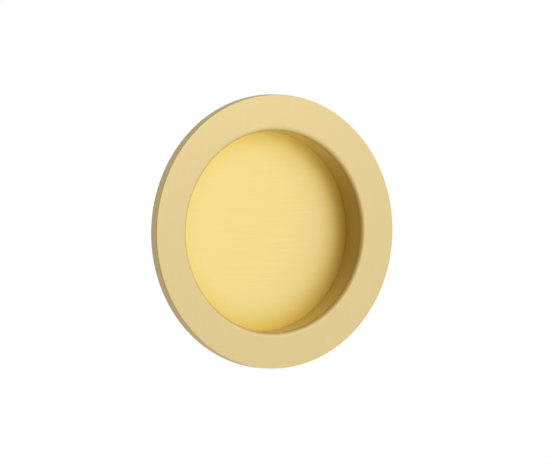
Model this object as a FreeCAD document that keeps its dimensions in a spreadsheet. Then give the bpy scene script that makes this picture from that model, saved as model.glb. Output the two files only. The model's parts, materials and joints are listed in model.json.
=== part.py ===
import FreeCAD, Part
import os
import Sketcher

# Round pocket door pull in brass, in millimetres, as it sits in an upright door.
# The cup's axis is Y. The face looks along -Y, and the cup goes into the door along +Y.
# The origin is on that axis, in the plane of the door's surface, and Z is up.

# Each driving size: its name, its value and what it measures.
DRIVING_SIZES = (
    ("cup_radius", 29.5, "inside of the finger cup"),
    ("cup_depth", 9.0, "from the face to the cover disc that is the cup's floor"),
    ("rim_width", 10.5, "from the cup's wall out to the edge of the face"),
    ("flange_thickness", 3.1, "how far the flange stands off the door"),
    ("wall_thickness", 2.0, "of the cup's wall"),
    ("bottom_thickness", 2.1, "of the cup's turned bottom, which the screws hold"),
    ("mouth_radius", 1.3, "rounding where the face turns into the cup"),
    ("face_edge_radius", 0.25, "rounding of the face's outer edge"),
    ("corner_radius", 0.3, "left by the turning tool between the wall and the bottom"),
    ("back_chamfer", 0.8, "lead-in round the back of the cup"),
    ("disc_thickness", 0.8, "of the cover disc"),
    ("disc_clearance", 0.05, "from the edge of the cover disc to the cup's wall"),
    ("disc_edge_chamfer", 0.1, "on the front edge of the cover disc"),
    ("screw_inset", 11.5, "from the cup's wall in to the middle of a screw"),
    ("screw_diameter", 3.5, "over the screw's thread"),
    ("screw_length", 10.0, "from the top of the head to the tip"),
    ("point_length", 3.0, "of the screw's tapered tip"),
    ("head_diameter", 6.8, "of the countersunk head"),
    ("head_land", 0.25, "straight edge round the top of the head"),
    ("head_sink", 0.15, "from the front of the bottom down to the top of the head"),
    ("recess_span", 3.4, "from tip to tip of the cross recess"),
    ("recess_width", 0.9, "of each slot of the cross recess"),
    ("recess_depth", 1.4, "of the cross recess"),
    ("hole_clearance", 0.25, "from the thread to its hole"),
    ("seat_clearance", 0.05, "from the head to its countersink, measured across the hole"),
)

# What several pieces share, worked out from the driving sizes.
BOTTOM_FRONT = "(sizes.cup_depth + sizes.disc_thickness - sizes.flange_thickness)"
SCREW_HEIGHT = "(sizes.cup_radius - sizes.screw_inset)"
COUNTERSINK_ANGLE = 90

# How a sketch numbers the ends of a line and the centre of a circle, its two axes and its origin.
START, END, CENTRE = range(1, 4)
LEVEL_AXIS, UPRIGHT_AXIS = range(-1, -3, -1)
ORIGIN = (LEVEL_AXIS, START)

# Two lengths closer than this are the same.
SAME = 1e-6


def fill_sheet():
    """The driving sizes, one to a row."""
    sheet = doc.addObject("Spreadsheet::Sheet", "sizes")
    for row, (name, value, meaning) in enumerate(DRIVING_SIZES, start=1):
        sheet.set(f"A{row}", name)
        sheet.set(f"B{row}", str(value))
        sheet.set(f"C{row}", meaning)
        sheet.setAlias(f"B{row}", name)
    doc.recompute()
    return sheet


def origin_item(body, role):
    """One of the body's own planes or axes."""
    return next(item for item in body.Origin.OriginFeatures if item.Role == role)


def new_sketch(body, name, role, offset=None):
    """A sketch on one of the body's own planes, or set off from it along its normal."""
    sketch = body.newObject("Sketcher::SketchObject", name)
    sketch.AttachmentSupport = (origin_item(body, role), [""])
    sketch.MapMode = "FlatFace"
    if offset:
        sketch.setExpression("AttachmentOffset.Base.z", offset)
    return sketch


def draw_outline(sketch, points):
    """A closed outline of straight lines, held square where two points line up."""
    for line, (start, end) in enumerate(zip(points, points[1:] + points[:1])):
        ends = FreeCAD.Vector(*start, 0), FreeCAD.Vector(*end, 0)
        sketch.addGeometry(Part.LineSegment(*ends), False)
        if start[0] == end[0]:
            sketch.addConstraint(Sketcher.Constraint("Vertical", line))
        if start[1] == end[1]:
            sketch.addConstraint(Sketcher.Constraint("Horizontal", line))
    for line in range(len(points)):
        following = (line + 1) % len(points)
        sketch.addConstraint(Sketcher.Constraint("Coincident", line, END, following, START))


def draw_circle(sketch, height, radius):
    """A circle on the sketch's upright axis, this far above its origin."""
    centre = FreeCAD.Vector(0, height, 0)
    sketch.addGeometry(Part.Circle(centre, FreeCAD.Vector(0, 0, 1), radius), False)


def hold_on_axis(sketch, point, axis):
    """Keeps one point of a sketch on one of the sketch's axes."""
    sketch.addConstraint(Sketcher.Constraint("PointOnObject", *point, axis))


def measure(sketch, direction, start, end, size):
    """A distance from one point of a sketch to another, tied to the sheet."""
    number = sketch.addConstraint(Sketcher.Constraint(direction, *start, *end, 1.0))
    sketch.setExpression(f"Constraints[{number}]", size)


def turn(body, name, section):
    """A solid turned all round the section's upright axis, which is the body's Y."""
    turned = body.newObject("PartDesign::Revolution", name)
    turned.Profile = section
    turned.ReferenceAxis = (section, ["V_Axis"])
    turned.Angle = 360
    doc.recompute()
    return turned


def finish_edge(body, kind, name, base, radius, place, size):
    """A fillet or a chamfer on the round edge with this radius at this place along Y."""
    edge_names = [
        f"Edge{number}"
        for number, edge in enumerate(base.Shape.Edges, start=1)
        if isinstance(edge.Curve, Part.Circle)
        and abs(edge.Curve.Radius - radius) < SAME
        and abs(edge.Curve.Center.y - place) < SAME
    ]
    finish = body.newObject(f"PartDesign::{kind}", name)
    finish.Base = (base, edge_names)
    finish.setExpression("Radius" if kind == "Fillet" else "Size", size)
    doc.recompute()
    return finish


def must_lose_metal(before, after):
    """Stops if a cut missed the solid."""
    if after.Shape.Volume >= before.Shape.Volume:
        raise RuntimeError(f"{after.Label} takes nothing away")


def make_pull_body():
    """Flange, cup wall and cup bottom, turned from one blank and drilled for two screws."""
    body = doc.addObject("PartDesign::Body", "pull_body")

    inside = sizes.cup_radius
    outside = inside + sizes.wall_thickness
    rim = inside + sizes.rim_width
    face_place = -sizes.flange_thickness
    bottom_place = face_place + sizes.cup_depth + sizes.disc_thickness
    back_place = bottom_place + sizes.bottom_thickness

    section = new_sketch(body, "body_section", "XY_Plane")
    draw_outline(section, [
        (0, bottom_place), (inside, bottom_place), (inside, face_place), (rim, face_place),
        (rim, 0), (outside, 0), (outside, back_place), (0, back_place),
    ])
    bottom, bore, face, edge, seat, wall, back, axis = range(8)
    hold_on_axis(section, (axis, START), UPRIGHT_AXIS)
    hold_on_axis(section, (seat, START), LEVEL_AXIS)
    measure(section, "DistanceX", ORIGIN, (bore, START), "sizes.cup_radius")
    measure(section, "DistanceY", (bore, END), (bore, START), "sizes.cup_depth + sizes.disc_thickness")
    measure(section, "DistanceX", (face, START), (face, END), "sizes.rim_width")
    measure(section, "DistanceY", (edge, START), (edge, END), "sizes.flange_thickness")
    measure(section, "DistanceX", (bore, START), (wall, START), "sizes.wall_thickness")
    measure(section, "DistanceY", (bottom, START), (back, END), "sizes.bottom_thickness")
    turned = turn(body, "turned_blank", section)

    mouth = finish_edge(body, "Fillet", "mouth", turned, inside, face_place, "sizes.mouth_radius")
    face_edge = finish_edge(body, "Fillet", "face_edge", mouth, rim, face_place, "sizes.face_edge_radius")
    corner = finish_edge(body, "Fillet", "bottom_corner", face_edge,
                         inside, bottom_place, "sizes.corner_radius")
    lead_in = finish_edge(body, "Chamfer", "lead_in", corner, outside, back_place, "sizes.back_chamfer")

    centres = new_sketch(body, "screw_centres", "XZ_Plane", f"-{BOTTOM_FRONT}")
    screw_height = sizes.cup_radius - sizes.screw_inset
    for height in (screw_height, -screw_height):
        draw_circle(centres, height, sizes.screw_diameter / 2)
    hold_on_axis(centres, (0, CENTRE), UPRIGHT_AXIS)
    measure(centres, "DistanceY", ORIGIN, (0, CENTRE), SCREW_HEIGHT)
    centres.addConstraint(Sketcher.Constraint("Symmetric", 0, CENTRE, 1, CENTRE, *ORIGIN))
    doc.recompute()

    holes = body.newObject("PartDesign::Hole", "screw_holes")
    holes.Profile = centres
    doc.recompute()
    holes.ThreadType = "None"
    holes.DepthType = "ThroughAll"
    holes.setExpression("Diameter", "sizes.screw_diameter + 2 * sizes.hole_clearance")
    holes.HoleCutType = "Countersink"
    holes.HoleCutCustomValues = True
    holes.HoleCutCountersinkAngle = COUNTERSINK_ANGLE
    head_drop = "2 * (sizes.head_sink + sizes.head_land + sizes.seat_clearance)"
    holes.setExpression("HoleCutDiameter", f"sizes.head_diameter + {head_drop}")
    doc.recompute()
    must_lose_metal(lead_in, holes)
    return body


def make_floor_disc():
    """The brushed disc that lies on the cup's bottom and hides the screws."""
    body = doc.addObject("PartDesign::Body", "floor_disc")

    disc_radius = sizes.cup_radius - sizes.disc_clearance
    outline = new_sketch(body, "disc_outline", "XZ_Plane", f"-{BOTTOM_FRONT}")
    draw_circle(outline, 0, disc_radius)
    outline.addConstraint(Sketcher.Constraint("Coincident", 0, CENTRE, *ORIGIN))
    radius = outline.addConstraint(Sketcher.Constraint("Radius", 0, disc_radius))
    outline.setExpression(f"Constraints[{radius}]", "sizes.cup_radius - sizes.disc_clearance")

    blank = body.newObject("PartDesign::Pad", "disc_blank")
    blank.Profile = outline
    blank.setExpression("Length", "sizes.disc_thickness")
    doc.recompute()

    front_place = sizes.cup_depth - sizes.flange_thickness
    front = finish_edge(body, "Chamfer", "front_edge", blank,
                        disc_radius, front_place, "sizes.disc_edge_chamfer")
    finish_edge(body, "Chamfer", "back_edge", front,
                disc_radius, front_place + sizes.disc_thickness, "sizes.corner_radius")
    return body


def make_screw():
    """One countersunk wood screw, head up the cup, at its place above the cup's middle."""
    body = doc.addObject("PartDesign::Body", "screw")

    head = sizes.head_diameter / 2
    thread = sizes.screw_diameter / 2
    slope_end = sizes.head_land + head - thread
    point_start = sizes.screw_length - sizes.point_length
    section = new_sketch(body, "screw_section", "XY_Plane")
    draw_outline(section, [
        (0, 0), (head, 0), (head, sizes.head_land),
        (thread, slope_end), (thread, point_start), (0, sizes.screw_length),
    ])
    top, land, cone, shank, point, axis = range(6)
    section.addConstraint(Sketcher.Constraint("Coincident", top, START, *ORIGIN))
    measure(section, "DistanceX", ORIGIN, (top, END), "sizes.head_diameter / 2")
    measure(section, "DistanceY", (land, START), (land, END), "sizes.head_land")
    measure(section, "DistanceX", ORIGIN, (shank, START), "sizes.screw_diameter / 2")
    measure(section, "DistanceY", (cone, START), (cone, END),
            "(sizes.head_diameter - sizes.screw_diameter) / 2")
    measure(section, "DistanceY", (point, START), (point, END), "sizes.point_length")
    measure(section, "DistanceY", ORIGIN, (axis, START), "sizes.screw_length")
    turned = turn(body, "screw_blank", section)

    left, right = -sizes.recess_span / 2, sizes.recess_span / 2
    low, high = -sizes.recess_width / 2, sizes.recess_width / 2
    slot = new_sketch(body, "slot_outline", "XZ_Plane")
    draw_outline(slot, [(left, low), (right, low), (right, high), (left, high)])
    slot.addConstraint(Sketcher.Constraint("Symmetric", 0, START, 2, START, *ORIGIN))
    measure(slot, "DistanceX", (0, START), (0, END), "sizes.recess_span")
    measure(slot, "DistanceY", (1, START), (1, END), "sizes.recess_width")
    first_slot = body.newObject("PartDesign::Pocket", "first_slot")
    first_slot.Profile = slot
    first_slot.setExpression("Length", "sizes.recess_depth")
    doc.recompute()
    must_lose_metal(turned, first_slot)

    cross = body.newObject("PartDesign::PolarPattern", "cross_recess")
    cross.Originals = [first_slot]
    cross.Axis = (origin_item(body, "Y_Axis"), [""])
    cross.Angle = 90
    cross.Occurrences = 2
    body.Tip = cross
    doc.recompute()
    must_lose_metal(first_slot, cross)

    body.setExpression("Placement.Base.y", f"{BOTTOM_FRONT} + sizes.head_sink")
    body.setExpression("Placement.Base.z", SCREW_HEIGHT)
    return body


def make_fixing_screws(screw):
    """The screw and its twin, as far below the cup's middle as the first is above it."""
    twin = doc.addObject("Part::Mirroring", "twin_screw")
    twin.Source = screw
    twin.Base = (0, 0, 0)
    twin.Normal = (0, 0, 1)
    pair = doc.addObject("Part::Compound", "fixing_screws")
    pair.Links = [screw, twin]
    return pair


doc = FreeCAD.newDocument("pocket_door_pull")
sizes = fill_sheet()
pieces = [make_pull_body(), make_floor_disc(), make_fixing_screws(make_screw())]
doc.recompute()

for item in doc.Objects:
    if "Invalid" in item.State or "Error" in item.State:
        raise RuntimeError(f"{item.Label} failed: {item.State}")
for piece in pieces:
    if piece.Shape.isNull() or not piece.Shape.isValid():
        raise RuntimeError(f"{piece.Label} has no valid shape")

os.makedirs("parts", exist_ok=True)
for piece in pieces:
    piece.Shape.exportStep(f"parts/{piece.Label}.step")
    print(piece.Label, len(piece.Shape.Solids), round(piece.Shape.Volume, 2), piece.Shape.BoundBox)
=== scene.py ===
# A round brass pocket door pull, in metres. The face looks along -Y, the cup goes into the door along +Y,
# Z is up, and the origin is on the cup's axis in the plane of the door's surface.
import json
import math

import bmesh
import bpy
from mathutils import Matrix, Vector


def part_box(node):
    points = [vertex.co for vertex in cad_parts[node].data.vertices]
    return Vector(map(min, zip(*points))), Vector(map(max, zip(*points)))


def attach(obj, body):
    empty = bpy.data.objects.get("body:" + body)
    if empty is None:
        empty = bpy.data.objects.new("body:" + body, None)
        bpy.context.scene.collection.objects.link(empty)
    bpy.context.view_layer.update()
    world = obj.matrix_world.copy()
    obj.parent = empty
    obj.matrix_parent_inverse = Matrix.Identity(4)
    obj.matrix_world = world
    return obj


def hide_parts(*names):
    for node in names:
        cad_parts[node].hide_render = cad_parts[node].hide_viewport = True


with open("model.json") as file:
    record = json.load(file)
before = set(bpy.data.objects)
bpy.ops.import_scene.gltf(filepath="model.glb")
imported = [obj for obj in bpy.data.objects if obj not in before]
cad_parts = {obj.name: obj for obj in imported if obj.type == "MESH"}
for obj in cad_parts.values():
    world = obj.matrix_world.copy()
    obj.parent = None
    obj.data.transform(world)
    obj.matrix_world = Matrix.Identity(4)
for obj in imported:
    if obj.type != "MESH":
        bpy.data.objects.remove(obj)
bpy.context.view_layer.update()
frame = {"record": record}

# The body is one brass blank, turned on a lathe: a flange that lies on the door, and behind it the finger
# cup, which fills a bored hole. The tool rounds the cup's mouth and the face's edge, and leaves fine rings.
# The cup's bottom is drilled and countersunk for two screws, one above the other.
MM = 0.001
NEAR = 0.01 * MM
TURNED_SIDES = 256
HOLE_SIDES = 48

record_mounts = {mount["name"]: mount["dims"] for mount in frame["record"]["mounts"]}
body_low, body_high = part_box("pull_body")
disc_low, disc_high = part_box("floor_disc")
face_place = body_low.y
back_place = body_high.y
bottom_place = disc_high.y
flange_radius = body_high.x
# The frame's disc stands this far clear of the cup's wall, for a light push fit.
disc_clearance = 0.05 * MM
cup_radius = disc_high.x + disc_clearance
outside_radius = record_mounts["cup_in_door"]["r_mm"] * MM
lead_in = back_place - record_mounts["cup_in_door"]["length_mm"] * MM
screw_height = record_mounts["screw_pair"]["spacing_y_mm"] / 2 * MM
thread_radius = record_mounts["screw_pair"]["stud_r_mm"] * MM
mouth_radius = 1.3 * MM
face_edge_radius = 0.25 * MM
back_edge_radius = 0.15 * MM
corner_radius = 0.3 * MM
hole_clearance = 0.25 * MM
hole_radius = thread_radius + hole_clearance
countersink_radius = 3.85 * MM
smooth_angle = math.radians(32)


def add_turned(name, radius, front, back, sides=TURNED_SIDES):
    """A plain cylinder on the cup's axis, from one place to another, with its object at the origin."""
    bpy.ops.object.select_all(action="DESELECT")
    bpy.ops.mesh.primitive_cylinder_add(
        vertices=sides, radius=radius, depth=back - front,
        location=(0, (front + back) / 2, 0), rotation=(math.pi / 2, 0, 0))
    bpy.ops.object.transform_apply(location=True, rotation=True, scale=True)
    piece = bpy.context.object
    piece.name = piece.data.name = name
    return piece


def pick_cap(piece, place):
    """In edit mode, selects just the face that closes the piece across the axis at this place."""
    bpy.ops.mesh.select_mode(type="FACE")
    bpy.ops.mesh.select_all(action="DESELECT")
    for face in bmesh.from_edit_mesh(piece.data).faces:
        middle = face.calc_center_median()
        face.select_set(math.hypot(middle.x, middle.z) < NEAR and abs(middle.y - place) < NEAR)


def pick_ring(piece, radius, place):
    """In edit mode, selects just the ring of edges with this radius at this place along the axis."""
    bpy.ops.mesh.select_mode(type="EDGE")
    bpy.ops.mesh.select_all(action="DESELECT")
    for edge in bmesh.from_edit_mesh(piece.data).edges:
        edge.select_set(all(
            abs(math.hypot(end.co.x, end.co.z) - radius) < NEAR and abs(end.co.y - place) < NEAR
            for end in edge.verts))


def push_cap(piece, place, travel, inset=0, growth=1):
    """In edit mode, draws a cap in towards the axis, moves it along the axis and grows it round the axis."""
    pick_cap(piece, place)
    if inset:
        bpy.ops.mesh.inset(thickness=inset)
    bpy.ops.mesh.extrude_region_move(TRANSFORM_OT_translate={"value": (0, travel, 0)})
    bpy.ops.transform.resize(value=(growth, 1, growth), center_override=(0, 0, 0))


def round_ring(piece, radius, place, size, segments):
    """In edit mode, rounds a ring of edges, or chamfers it if there is one segment."""
    pick_ring(piece, radius, place)
    bpy.ops.mesh.bevel(offset=size, segments=segments, profile=0.5, affect="EDGES")


def move_up(piece, height):
    """Moves a piece's mesh up from the cup's axis, with its object left at the origin."""
    bpy.ops.object.select_all(action="DESELECT")
    bpy.context.view_layer.objects.active = piece
    bpy.ops.object.mode_set(mode="EDIT")
    bpy.ops.mesh.select_all(action="SELECT")
    bpy.ops.transform.translate(value=(0, 0, height))
    bpy.ops.object.mode_set(mode="OBJECT")


def cut_away(piece, cutter):
    """Takes the cutter's shape out of the piece, and removes the cutter."""
    bpy.ops.object.select_all(action="DESELECT")
    bpy.context.view_layer.objects.active = piece
    cut = piece.modifiers.new("cut", "BOOLEAN")
    cut.object = cutter
    cut.solver = "EXACT"
    bpy.ops.object.modifier_apply(modifier=cut.name)
    bpy.data.objects.remove(cutter)


def finish_shading(piece):
    """Smooth over the rounded edges, with the flats kept flat and the sharp edges kept sharp."""
    bpy.ops.object.select_all(action="DESELECT")
    bpy.context.view_layer.objects.active = piece
    piece.select_set(True)
    bpy.ops.object.shade_smooth_by_angle(angle=smooth_angle)
    weighted = piece.modifiers.new("flats_stay_flat", "WEIGHTED_NORMAL")
    weighted.keep_sharp = True
    bpy.ops.object.modifier_apply(modifier=weighted.name)


body = add_turned("brass_body", flange_radius, face_place, 0)
bpy.ops.object.mode_set(mode="EDIT")
push_cap(body, 0, back_place, inset=flange_radius - outside_radius)
push_cap(body, face_place, bottom_place - face_place, inset=flange_radius - cup_radius)
round_ring(body, cup_radius, face_place, mouth_radius, segments=10)
round_ring(body, flange_radius, face_place, face_edge_radius, segments=6)
round_ring(body, flange_radius, 0, back_edge_radius, segments=2)
round_ring(body, outside_radius, back_place, lead_in, segments=1)
round_ring(body, cup_radius, bottom_place, corner_radius, segments=3)
bpy.ops.object.mode_set(mode="OBJECT")

past_surface = 0.5 * MM
countersink_end = bottom_place + countersink_radius - hole_radius
for height in (screw_height, -screw_height):
    drill = add_turned("drill", hole_radius, countersink_end, back_place + past_surface, HOLE_SIDES)
    bpy.ops.object.mode_set(mode="EDIT")
    push_cap(drill, countersink_end, bottom_place - past_surface - countersink_end,
             growth=(countersink_radius + past_surface) / hole_radius)
    bpy.ops.object.mode_set(mode="OBJECT")
    move_up(drill, height)
    cut_away(body, drill)
finish_shading(body)


def linear(hex_colour):
    """The linear colour that an sRGB hex value stands for."""
    shares = [int(hex_colour[start:start + 2], 16) / 255 for start in (1, 3, 5)]
    return (*(s / 12.92 if s <= 0.04045 else ((s + 0.055) / 1.055) ** 2.4 for s in shares), 1)


def add_node(material, kind, inputs=None, **settings):
    """Adds a node with its settings. Each input is given by name or number, as a value or as a link."""
    node = material.node_tree.nodes.new(kind)
    for name, value in settings.items():
        setattr(node, name, value)
    for name, value in (inputs or {}).items():
        if isinstance(value, bpy.types.NodeSocket):
            material.node_tree.links.new(value, node.inputs[name])
        else:
            node.inputs[name].default_value = value
    return node


def new_metal(name, colour, roughness, anisotropy):
    """A bare metal of one colour, with its finish still to be added."""
    material = bpy.data.materials.new(name)
    material.use_nodes = True
    shader = material.node_tree.nodes["Principled BSDF"]
    shader.inputs["Base Color"].default_value = linear(colour)
    shader.inputs["Metallic"].default_value = 1
    shader.inputs["Roughness"].default_value = roughness
    shader.inputs["Anisotropic"].default_value = anisotropy
    return material, shader


def lay_marks(material, shader, place, tones, roughness, depth):
    """Gives a metal its tool marks: streaks from the noise at this place, in tone, gloss and depth."""
    streaks = add_node(material, "ShaderNodeTexNoise",
                       {"Vector": place, "Scale": 1, "Detail": 3, "Roughness": 0.6})
    tone = add_node(material, "ShaderNodeMix",
                    {0: streaks.outputs[0], 6: linear(tones[0]), 7: linear(tones[1])}, data_type="RGBA")
    gloss = add_node(material, "ShaderNodeMapRange", {
        "Value": streaks.outputs[0], "From Min": 0.25, "From Max": 0.75,
        "To Min": roughness[0], "To Max": roughness[1]})
    bump = add_node(material, "ShaderNodeBump",
                    {"Height": streaks.outputs[0], "Distance": depth, "Strength": 1})
    for output, socket in ((tone.outputs[2], "Base Color"), (gloss.outputs[0], "Roughness"),
                           (bump.outputs[0], "Normal")):
        material.node_tree.links.new(output, shader.inputs[socket])


def make_grained_brass(name, tones, roughness, anisotropy, grain_axis, cell, depth):
    """Brass grained on a belt. The streaks run along the named axis, and light spreads across them."""
    material, shader = new_metal(name, tones[0], roughness[0], anisotropy)
    place = add_node(material, "ShaderNodeTexCoord")
    stretched = add_node(material, "ShaderNodeMapping",
                         {"Vector": place.outputs["Object"], "Scale": [1 / size for size in cell]})
    lay_marks(material, shader, stretched.outputs[0], tones, roughness, depth)
    tangent = add_node(material, "ShaderNodeTangent", direction_type="RADIAL", axis=grain_axis)
    material.node_tree.links.new(tangent.outputs[0], shader.inputs["Tangent"])
    return material


def make_turned_brass(name, tones, roughness, anisotropy, ring_width, depth):
    """Brass as the lathe leaves it. Fine rings run round the axis, and light spreads square to them."""
    material, shader = new_metal(name, tones[0], roughness[0], anisotropy)
    place = add_node(material, "ShaderNodeTexCoord")
    sideways = add_node(material, "ShaderNodeVectorMath", {0: place.outputs["Object"], 1: (1, 0, 1)},
                        operation="MULTIPLY")
    radius = add_node(material, "ShaderNodeVectorMath", {0: sideways.outputs[0]}, operation="LENGTH")
    along = add_node(material, "ShaderNodeSeparateXYZ", {0: place.outputs["Object"]})
    ring = add_node(material, "ShaderNodeCombineXYZ", {"X": radius.outputs["Value"], "Y": along.outputs["Y"]})
    scaled = add_node(material, "ShaderNodeMapping",
                      {"Vector": ring.outputs[0], "Scale": (1 / ring_width, 1 / ring_width, 1)})
    lay_marks(material, shader, scaled.outputs[0], tones, roughness, depth)
    tangent = add_node(material, "ShaderNodeTangent", direction_type="RADIAL", axis="Y")
    material.node_tree.links.new(tangent.outputs[0], shader.inputs["Tangent"])
    quarter_turn = 0.25
    shader.inputs["Anisotropic Rotation"].default_value = quarter_turn
    return material


def deepen(material, place, start, end, tint):
    """Lets the metal's colour deepen to this tint of itself, slowly, between two places."""
    shader = material.node_tree.nodes["Principled BSDF"]
    share = add_node(material, "ShaderNodeMapRange", {"Value": place, "From Min": start, "From Max": end},
                     interpolation_type="SMOOTHSTEP")
    deepened = add_node(material, "ShaderNodeMix", {
        0: share.outputs[0], 6: shader.inputs["Base Color"].links[0].from_socket, 7: linear(tint)},
        data_type="RGBA", blend_type="MULTIPLY")
    material.node_tree.links.new(deepened.outputs[2], shader.inputs["Base Color"])


# Turned brass, satin finished: pale, with faint rings from the tool on the rim, the outside and the back.
# A finishing cut leaves rings about 0.1 mm apart. They are drawn 0.3 mm apart, so that they show.
ring_width = 0.3 * MM
turned_brass = make_turned_brass(
    "turned_satin_brass", ("#E2D099", "#E6D49D"), (0.38, 0.44), 0.5,
    ring_width=ring_width, depth=0.002 * MM)
# Brass grained upright on a belt: a pale, even face with faint upright streaks. The belt's scratches are
# about 0.05 mm wide, and are drawn 0.5 mm wide, so that they show.
streak_width = 0.5 * MM
flange_streak = 12 * MM
upright_grain = make_grained_brass(
    "satin_brass_upright_grain", ("#DECA93", "#E4D099"), (0.32, 0.36), 0.5,
    grain_axis="Z", cell=(streak_width, streak_width, flange_streak), depth=0.001 * MM)
# Bored brass, left as the boring bar cut it: duller than the face. Its deeper, darker yellow is painted
# shade, standing for the shade inside the cup.
bored_brass_painted_shade = make_turned_brass(
    "bored_brass_painted_shade", ("#D6C081", "#DAC484"), (0.45, 0.5), 0.6,
    ring_width=ring_width, depth=0.002 * MM)
# Brass eased by hand with fine cloth, round the mouth: the dullest finish, with no sharp highlight. Its
# colour is painted light: it starts paler than the face, a painted highlight along the mouth's edge, and
# deepens into the cup, as painted shade, to about the colour of the bored wall.
eased_brass_painted_light = make_turned_brass(
    "eased_brass_painted_light", ("#EBD79D", "#EFDBA1"), (0.63, 0.69), 0.1,
    ring_width=ring_width, depth=0.002 * MM)
# Painted light: the mouth's colour is multiplied darker along the rounding, from the face's edge into the
# cup.
mouth_place = add_node(eased_brass_painted_light, "ShaderNodeTexCoord")
into_mouth = add_node(eased_brass_painted_light, "ShaderNodeSeparateXYZ", {"Vector": mouth_place.outputs["Object"]})
mouth_end = face_place + mouth_radius
deepen(eased_brass_painted_light, into_mouth.outputs["Y"], face_place, mouth_end, "#E2D8C2")
for finish in (turned_brass, upright_grain, bored_brass_painted_shade, eased_brass_painted_light):
    body.data.materials.append(finish)
for face in body.data.polygons:
    middle = face.center
    on_face = abs(middle.y - face_place) < NEAR
    in_cup = math.hypot(middle.x, middle.z) < cup_radius + mouth_radius and middle.y < bottom_place + NEAR
    in_mouth = in_cup and middle.y < mouth_end
    face.material_index = 1 if on_face else 3 if in_mouth else 2 if in_cup else 0
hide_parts("pull_body")
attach(body, "root")

# The cup's floor is a thin disc, blanked from brushed brass sheet and pushed in after the screws, which it
# hides. It lies on the turned bottom. Its grain runs level, its front edge is just broken, and its fit in
# the cup is so close that only a fine dark line shows round it.
disc_fit = 0.02 * MM
disc_edge = 0.02 * MM
disc_radius = cup_radius - disc_fit
disc = add_turned("brushed_floor_disc", disc_radius, disc_low.y, disc_high.y)
bpy.ops.object.mode_set(mode="EDIT")
round_ring(disc, disc_radius, disc_low.y, disc_edge, segments=2)
round_ring(disc, disc_radius, disc_high.y, corner_radius, segments=1)
bpy.ops.object.mode_set(mode="OBJECT")
finish_shading(disc)

# Brass sheet brushed level: a brighter, yellower floor with faint level streaks, longer than the flange's
# and drawn as wide.
floor_streak = 14 * MM
level_grain = make_grained_brass(
    "brushed_brass_level_grain", ("#EDD890", "#F7E29A"), (0.44, 0.52), 0.0,
    grain_axis="X", cell=(floor_streak, streak_width, streak_width), depth=0.001 * MM)
# Painted shade: the brass's colour deepens from 20 mm out towards the corner round the disc, for the shade
# that the cup's wall throws there.
painted_shade_start = 20 * MM
disc_place = add_node(level_grain, "ShaderNodeTexCoord")
disc_across = add_node(level_grain, "ShaderNodeVectorMath", {0: disc_place.outputs["Object"], 1: (1, 0, 1)},
                       operation="MULTIPLY")
from_axis = add_node(level_grain, "ShaderNodeVectorMath", {0: disc_across.outputs[0]}, operation="LENGTH")
deepen(level_grain, from_axis.outputs["Value"], painted_shade_start, cup_radius, "#FFF7C8")
disc.data.materials.append(level_grain)
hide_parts("floor_disc")
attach(disc, "root")

# Two countersunk wood screws hold the cup's bottom to the door. Each is cold-headed steel wire with a cross
# recess and a rolled thread that runs out at the point, zinc plated. The same screw is used twice.
SCREW_SIDES = 40
THREAD_RINGS = 84
screws_low, screws_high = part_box("fixing_screws")
head_radius = screws_high.z - screw_height
head_top = screws_low.y
tip_place = screws_high.y
head_land = 0.25 * MM
core_radius = 1.15 * MM
pitch = 1.6 * MM
point_length = 3 * MM
tip_radius = 0.06 * MM
crest_share = 0.3
recess_span = 3.4 * MM
recess_width = 0.9 * MM
recess_depth = 1.4 * MM
recess_taper = 0.6

slope_end = head_top + head_land + head_radius - thread_radius
screw = add_turned("upper_screw", thread_radius, slope_end, tip_place, SCREW_SIDES)
bpy.ops.object.mode_set(mode="EDIT")
bpy.ops.mesh.select_mode(type="EDGE")
bpy.ops.mesh.select_all(action="DESELECT")
for edge in bmesh.from_edit_mesh(screw.data).edges:
    start, end = edge.verts
    edge.select_set(abs(start.co.y - end.co.y) > NEAR)
bpy.ops.mesh.subdivide(number_cuts=THREAD_RINGS)
push_cap(screw, slope_end, head_top + head_land - slope_end, growth=head_radius / thread_radius)
push_cap(screw, head_top + head_land, -head_land)
bpy.ops.object.mode_set(mode="OBJECT")


def thread_at(place, turn):
    """The screw's radius at this place along it and this share of a turn, clockwise as the head is seen."""
    neck = thread_radius - (place - slope_end)
    core = max(core_radius, neck)
    from_crest = abs((place / pitch - turn) % 1 - 0.5)
    crest = core_radius + (thread_radius - core_radius) * max(0, 1 - from_crest / crest_share * 2)
    left = min(1, (tip_place - place) / point_length)
    return max(tip_radius, max(core, crest) * left)


for vertex in screw.data.vertices:
    if vertex.co.y > slope_end + NEAR:
        direction = Vector((vertex.co.x, 0, vertex.co.z)).normalized()
        turn = math.atan2(direction.x, direction.z) / math.tau
        radius = thread_at(vertex.co.y, turn)
        vertex.co = (direction.x * radius, vertex.co.y, direction.z * radius)

for width, height in ((recess_span, recess_width), (recess_width, recess_span)):
    bpy.ops.object.select_all(action="DESELECT")
    bpy.ops.mesh.primitive_cube_add(
        size=1, location=(0, head_top, 0), scale=(width, 2 * recess_depth, height))
    bpy.ops.object.transform_apply(location=True, rotation=True, scale=True)
    punch = bpy.context.object
    bpy.ops.object.mode_set(mode="EDIT")
    pick_cap(punch, head_top + recess_depth)
    bpy.ops.transform.resize(value=(recess_taper, 1, recess_taper), center_override=(0, head_top, 0))
    bpy.ops.object.mode_set(mode="OBJECT")
    cut_away(screw, punch)
finish_shading(screw)

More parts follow.
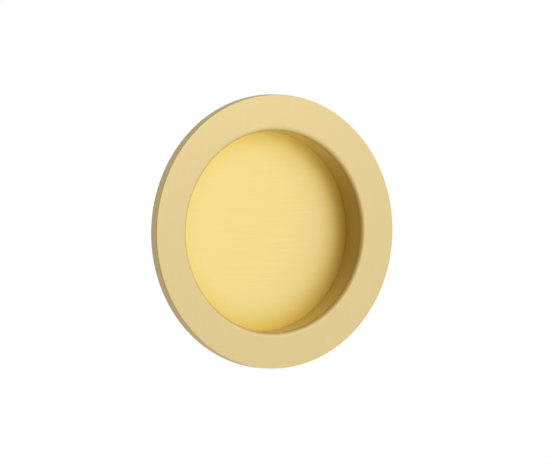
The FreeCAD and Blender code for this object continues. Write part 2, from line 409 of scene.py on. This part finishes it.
# Mild steel, bright zinc plated: a cool pale grey, with the plate's slight cloudiness.
cloud_size = 0.8 * MM
zinc_plate, zinc_shader = new_metal("zinc_plated_steel", "#C9CBC8", 0.3, 0)
zinc_place = add_node(zinc_plate, "ShaderNodeTexCoord")
clouds = add_node(zinc_plate, "ShaderNodeTexNoise",
                  {"Vector": zinc_place.outputs["Object"], "Scale": 1 / cloud_size, "Detail": 2})
cloud_tone = add_node(zinc_plate, "ShaderNodeMix",
                      {0: clouds.outputs[0], 6: linear("#BFC1BD"), 7: linear("#D2D4D1")}, data_type="RGBA")
cloud_gloss = add_node(zinc_plate, "ShaderNodeMapRange",
                       {"Value": clouds.outputs[0], "To Min": 0.22, "To Max": 0.4})
zinc_plate.node_tree.links.new(cloud_tone.outputs[2], zinc_shader.inputs["Base Color"])
zinc_plate.node_tree.links.new(cloud_gloss.outputs[0], zinc_shader.inputs["Roughness"])
screw.data.materials.append(zinc_plate)

lower_screw = screw.copy()
lower_screw.data = screw.data.copy()
lower_screw.name = lower_screw.data.name = "lower_screw"
bpy.context.collection.objects.link(lower_screw)
for each_screw, height in ((screw, screw_height), (lower_screw, -screw_height)):
    move_up(each_screw, height)
    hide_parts("fixing_screws")
    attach(each_screw, "root")

# The studio: a white room with a pale floor, well below the pull. Cloths and a card stand for what the
# metal mirrors, and the camera doesn't see them. A soft lamp in front, to the right and above, lights the
# face.
world = bpy.data.worlds.new("white_room")
bpy.context.scene.world = world
world.use_nodes = True
world.node_tree.nodes["Background"].inputs["Color"].default_value = (1, 1, 1, 1)
world.node_tree.nodes["Background"].inputs["Strength"].default_value = 1

ROUND_SIDES = 96
SCREEN_SIDES = 180
floor_place = -0.8
floor_radius = 20
bpy.ops.object.select_all(action="DESELECT")
bpy.ops.mesh.primitive_circle_add(
    vertices=ROUND_SIDES, radius=floor_radius, fill_type="NGON", location=(0, 0, floor_place))
bpy.ops.object.transform_apply(location=True)
studio_floor = bpy.context.object
studio_floor.name = "studio_floor"
floor_paint = bpy.data.materials.new("pale_matt_paint")
floor_paint.use_nodes = True
paint_shader = floor_paint.node_tree.nodes["Principled BSDF"]
paint_shader.inputs["Base Color"].default_value = linear("#F9F8F6")
paint_shader.inputs["Roughness"].default_value = 0.9
studio_floor.data.materials.append(floor_paint)



def show_in_metal(piece, material, tone):
    """Gives a stage piece a surface of its own tone, which the metal mirrors and the camera doesn't see."""
    glow = add_node(material, "ShaderNodeEmission", tone)
    output = material.node_tree.nodes["Material Output"]
    material.node_tree.links.new(glow.outputs[0], output.inputs["Surface"])
    piece.data.materials.append(material)
    piece.visible_camera = False


# A tall screen of grey cloth goes round the pull, open from the front's right side to behind it. It is
# darkest at the front, to the left. Places round the pull are turns from straight in front of it, and a
# quarter turn is to its right.
screen_radius = 0.55
screen_bottom, screen_top = floor_place, 0.9
opening_start, opening_end = 0.04, 0.36
screen_tones = {
    -0.36: "#CCC6C2", -0.14: "#8F7E6F", -0.08: "#9B8D7C", 0.016: "#FFFCF6", 0.36: "#D3CFD0"}
bpy.ops.object.select_all(action="DESELECT")
bpy.ops.mesh.primitive_cylinder_add(
    vertices=SCREEN_SIDES, radius=screen_radius, depth=screen_top - screen_bottom, end_fill_type="NOTHING",
    location=(0, 0, (screen_top + screen_bottom) / 2))
bpy.ops.object.transform_apply(location=True)
screen = bpy.context.object
screen.name = "grey_screen"
bpy.ops.object.mode_set(mode="EDIT")
bpy.ops.mesh.select_mode(type="FACE")
bpy.ops.mesh.select_all(action="DESELECT")
for face in bmesh.from_edit_mesh(screen.data).faces:
    middle = face.calc_center_median()
    face.select_set(opening_start < math.atan2(middle.x, -middle.y) / math.tau < opening_end)
bpy.ops.mesh.delete(type="FACE")
bpy.ops.object.mode_set(mode="OBJECT")
grey_cloth = bpy.data.materials.new("graded_grey_cloth")
grey_cloth.use_nodes = True
cloth_place = add_node(grey_cloth, "ShaderNodeTexCoord")
quarter_turned = add_node(grey_cloth, "ShaderNodeMapping", {
    "Vector": cloth_place.outputs["Object"], "Rotation": (0, 0, math.pi / 2)})
round_pull = add_node(grey_cloth, "ShaderNodeTexGradient", {"Vector": quarter_turned.outputs[0]},
                      gradient_type="RADIAL")
grading = add_node(grey_cloth, "ShaderNodeValToRGB", {"Fac": round_pull.outputs["Fac"]})
stops = grading.color_ramp.elements
while len(stops) < len(screen_tones):
    stops.new(1)
for stop, (turn, tone) in zip(stops, screen_tones.items()):
    stop.position = turn + 0.5
    stop.color = linear(tone)
show_in_metal(screen, grey_cloth, {"Color": grading.outputs["Color"]})

# A round canopy of grey cloth hangs above the pull, where a ceiling would be.
canopy_tone = "#BCB8B6"
canopy_radius = 0.27
canopy_place = 0.3
bpy.ops.object.select_all(action="DESELECT")
bpy.ops.mesh.primitive_circle_add(
    vertices=ROUND_SIDES, radius=canopy_radius, fill_type="NGON", location=(0, 0, canopy_place))
bpy.ops.object.transform_apply(location=True)
canopy = bpy.context.object
canopy.name = "grey_canopy"
canopy_cloth = bpy.data.materials.new("grey_cloth")
canopy_cloth.use_nodes = True
show_in_metal(canopy, canopy_cloth, {"Color": linear(canopy_tone)})

# A white card lies in front of the pull, below and to the right, and lights the cup's wall from there.
card_strength = 1.2
card_size = 0.5
card_place = (0.26, -0.34, -0.3)
bpy.ops.object.select_all(action="DESELECT")
bpy.ops.mesh.primitive_plane_add(size=card_size, location=card_place)
bpy.ops.object.transform_apply(location=True)
card = bpy.context.object
card.name = "white_card"
white_card = bpy.data.materials.new("white_card")
white_card.use_nodes = True
show_in_metal(card, white_card, {"Strength": card_strength})

# The soft lamp, with its turn from straight in front as the screen's.
lamp_turn = 0.042
lamp_distance = 0.42
lamp_height = 0.155
lamp_size = 0.25
lamp_energy = 0.17
lamp = bpy.data.lights.new("soft_lamp", "AREA")
lamp.size = lamp_size
lamp.energy = lamp_energy
lamp_object = bpy.data.objects.new("soft_lamp", lamp)
bpy.context.collection.objects.link(lamp_object)
lamp_object.location = (
    lamp_distance * math.sin(lamp_turn * math.tau),
    -lamp_distance * math.cos(lamp_turn * math.tau),
    lamp_height)
lamp_object.rotation_euler = (-lamp_object.location).to_track_quat("-Z", "Y").to_euler()
lamp_object.visible_camera = False

# The camera looks at the face from its left and a touch above, without perspective.
photo_width_px = 550
photo_height_px = 464
face_centre_px = (274.5, 231.6)
px_per_mm = 3.427
camera_left = math.radians(30.4)
camera_up = math.radians(1.66)
camera_distance = 0.6
camera = bpy.data.cameras.new("camera")
camera.type = "ORTHO"
camera.ortho_scale = photo_width_px / px_per_mm * MM
camera_object = bpy.data.objects.new("camera", camera)
bpy.context.collection.objects.link(camera_object)
camera_object.rotation_euler = (math.pi / 2 - camera_up, 0, -camera_left)
bpy.context.view_layer.update()
right, up, back = (camera_object.matrix_world.to_3x3().col[axis] for axis in range(3))
offset_right = (photo_width_px / 2 - face_centre_px[0]) / px_per_mm * MM
offset_up = (face_centre_px[1] - photo_height_px / 2) / px_per_mm * MM
camera_object.location = (
    Vector((0, face_place, 0)) + right * offset_right + up * offset_up + back * camera_distance)
bpy.context.scene.camera = camera_object
bpy.context.scene.view_settings.view_transform = "Standard"
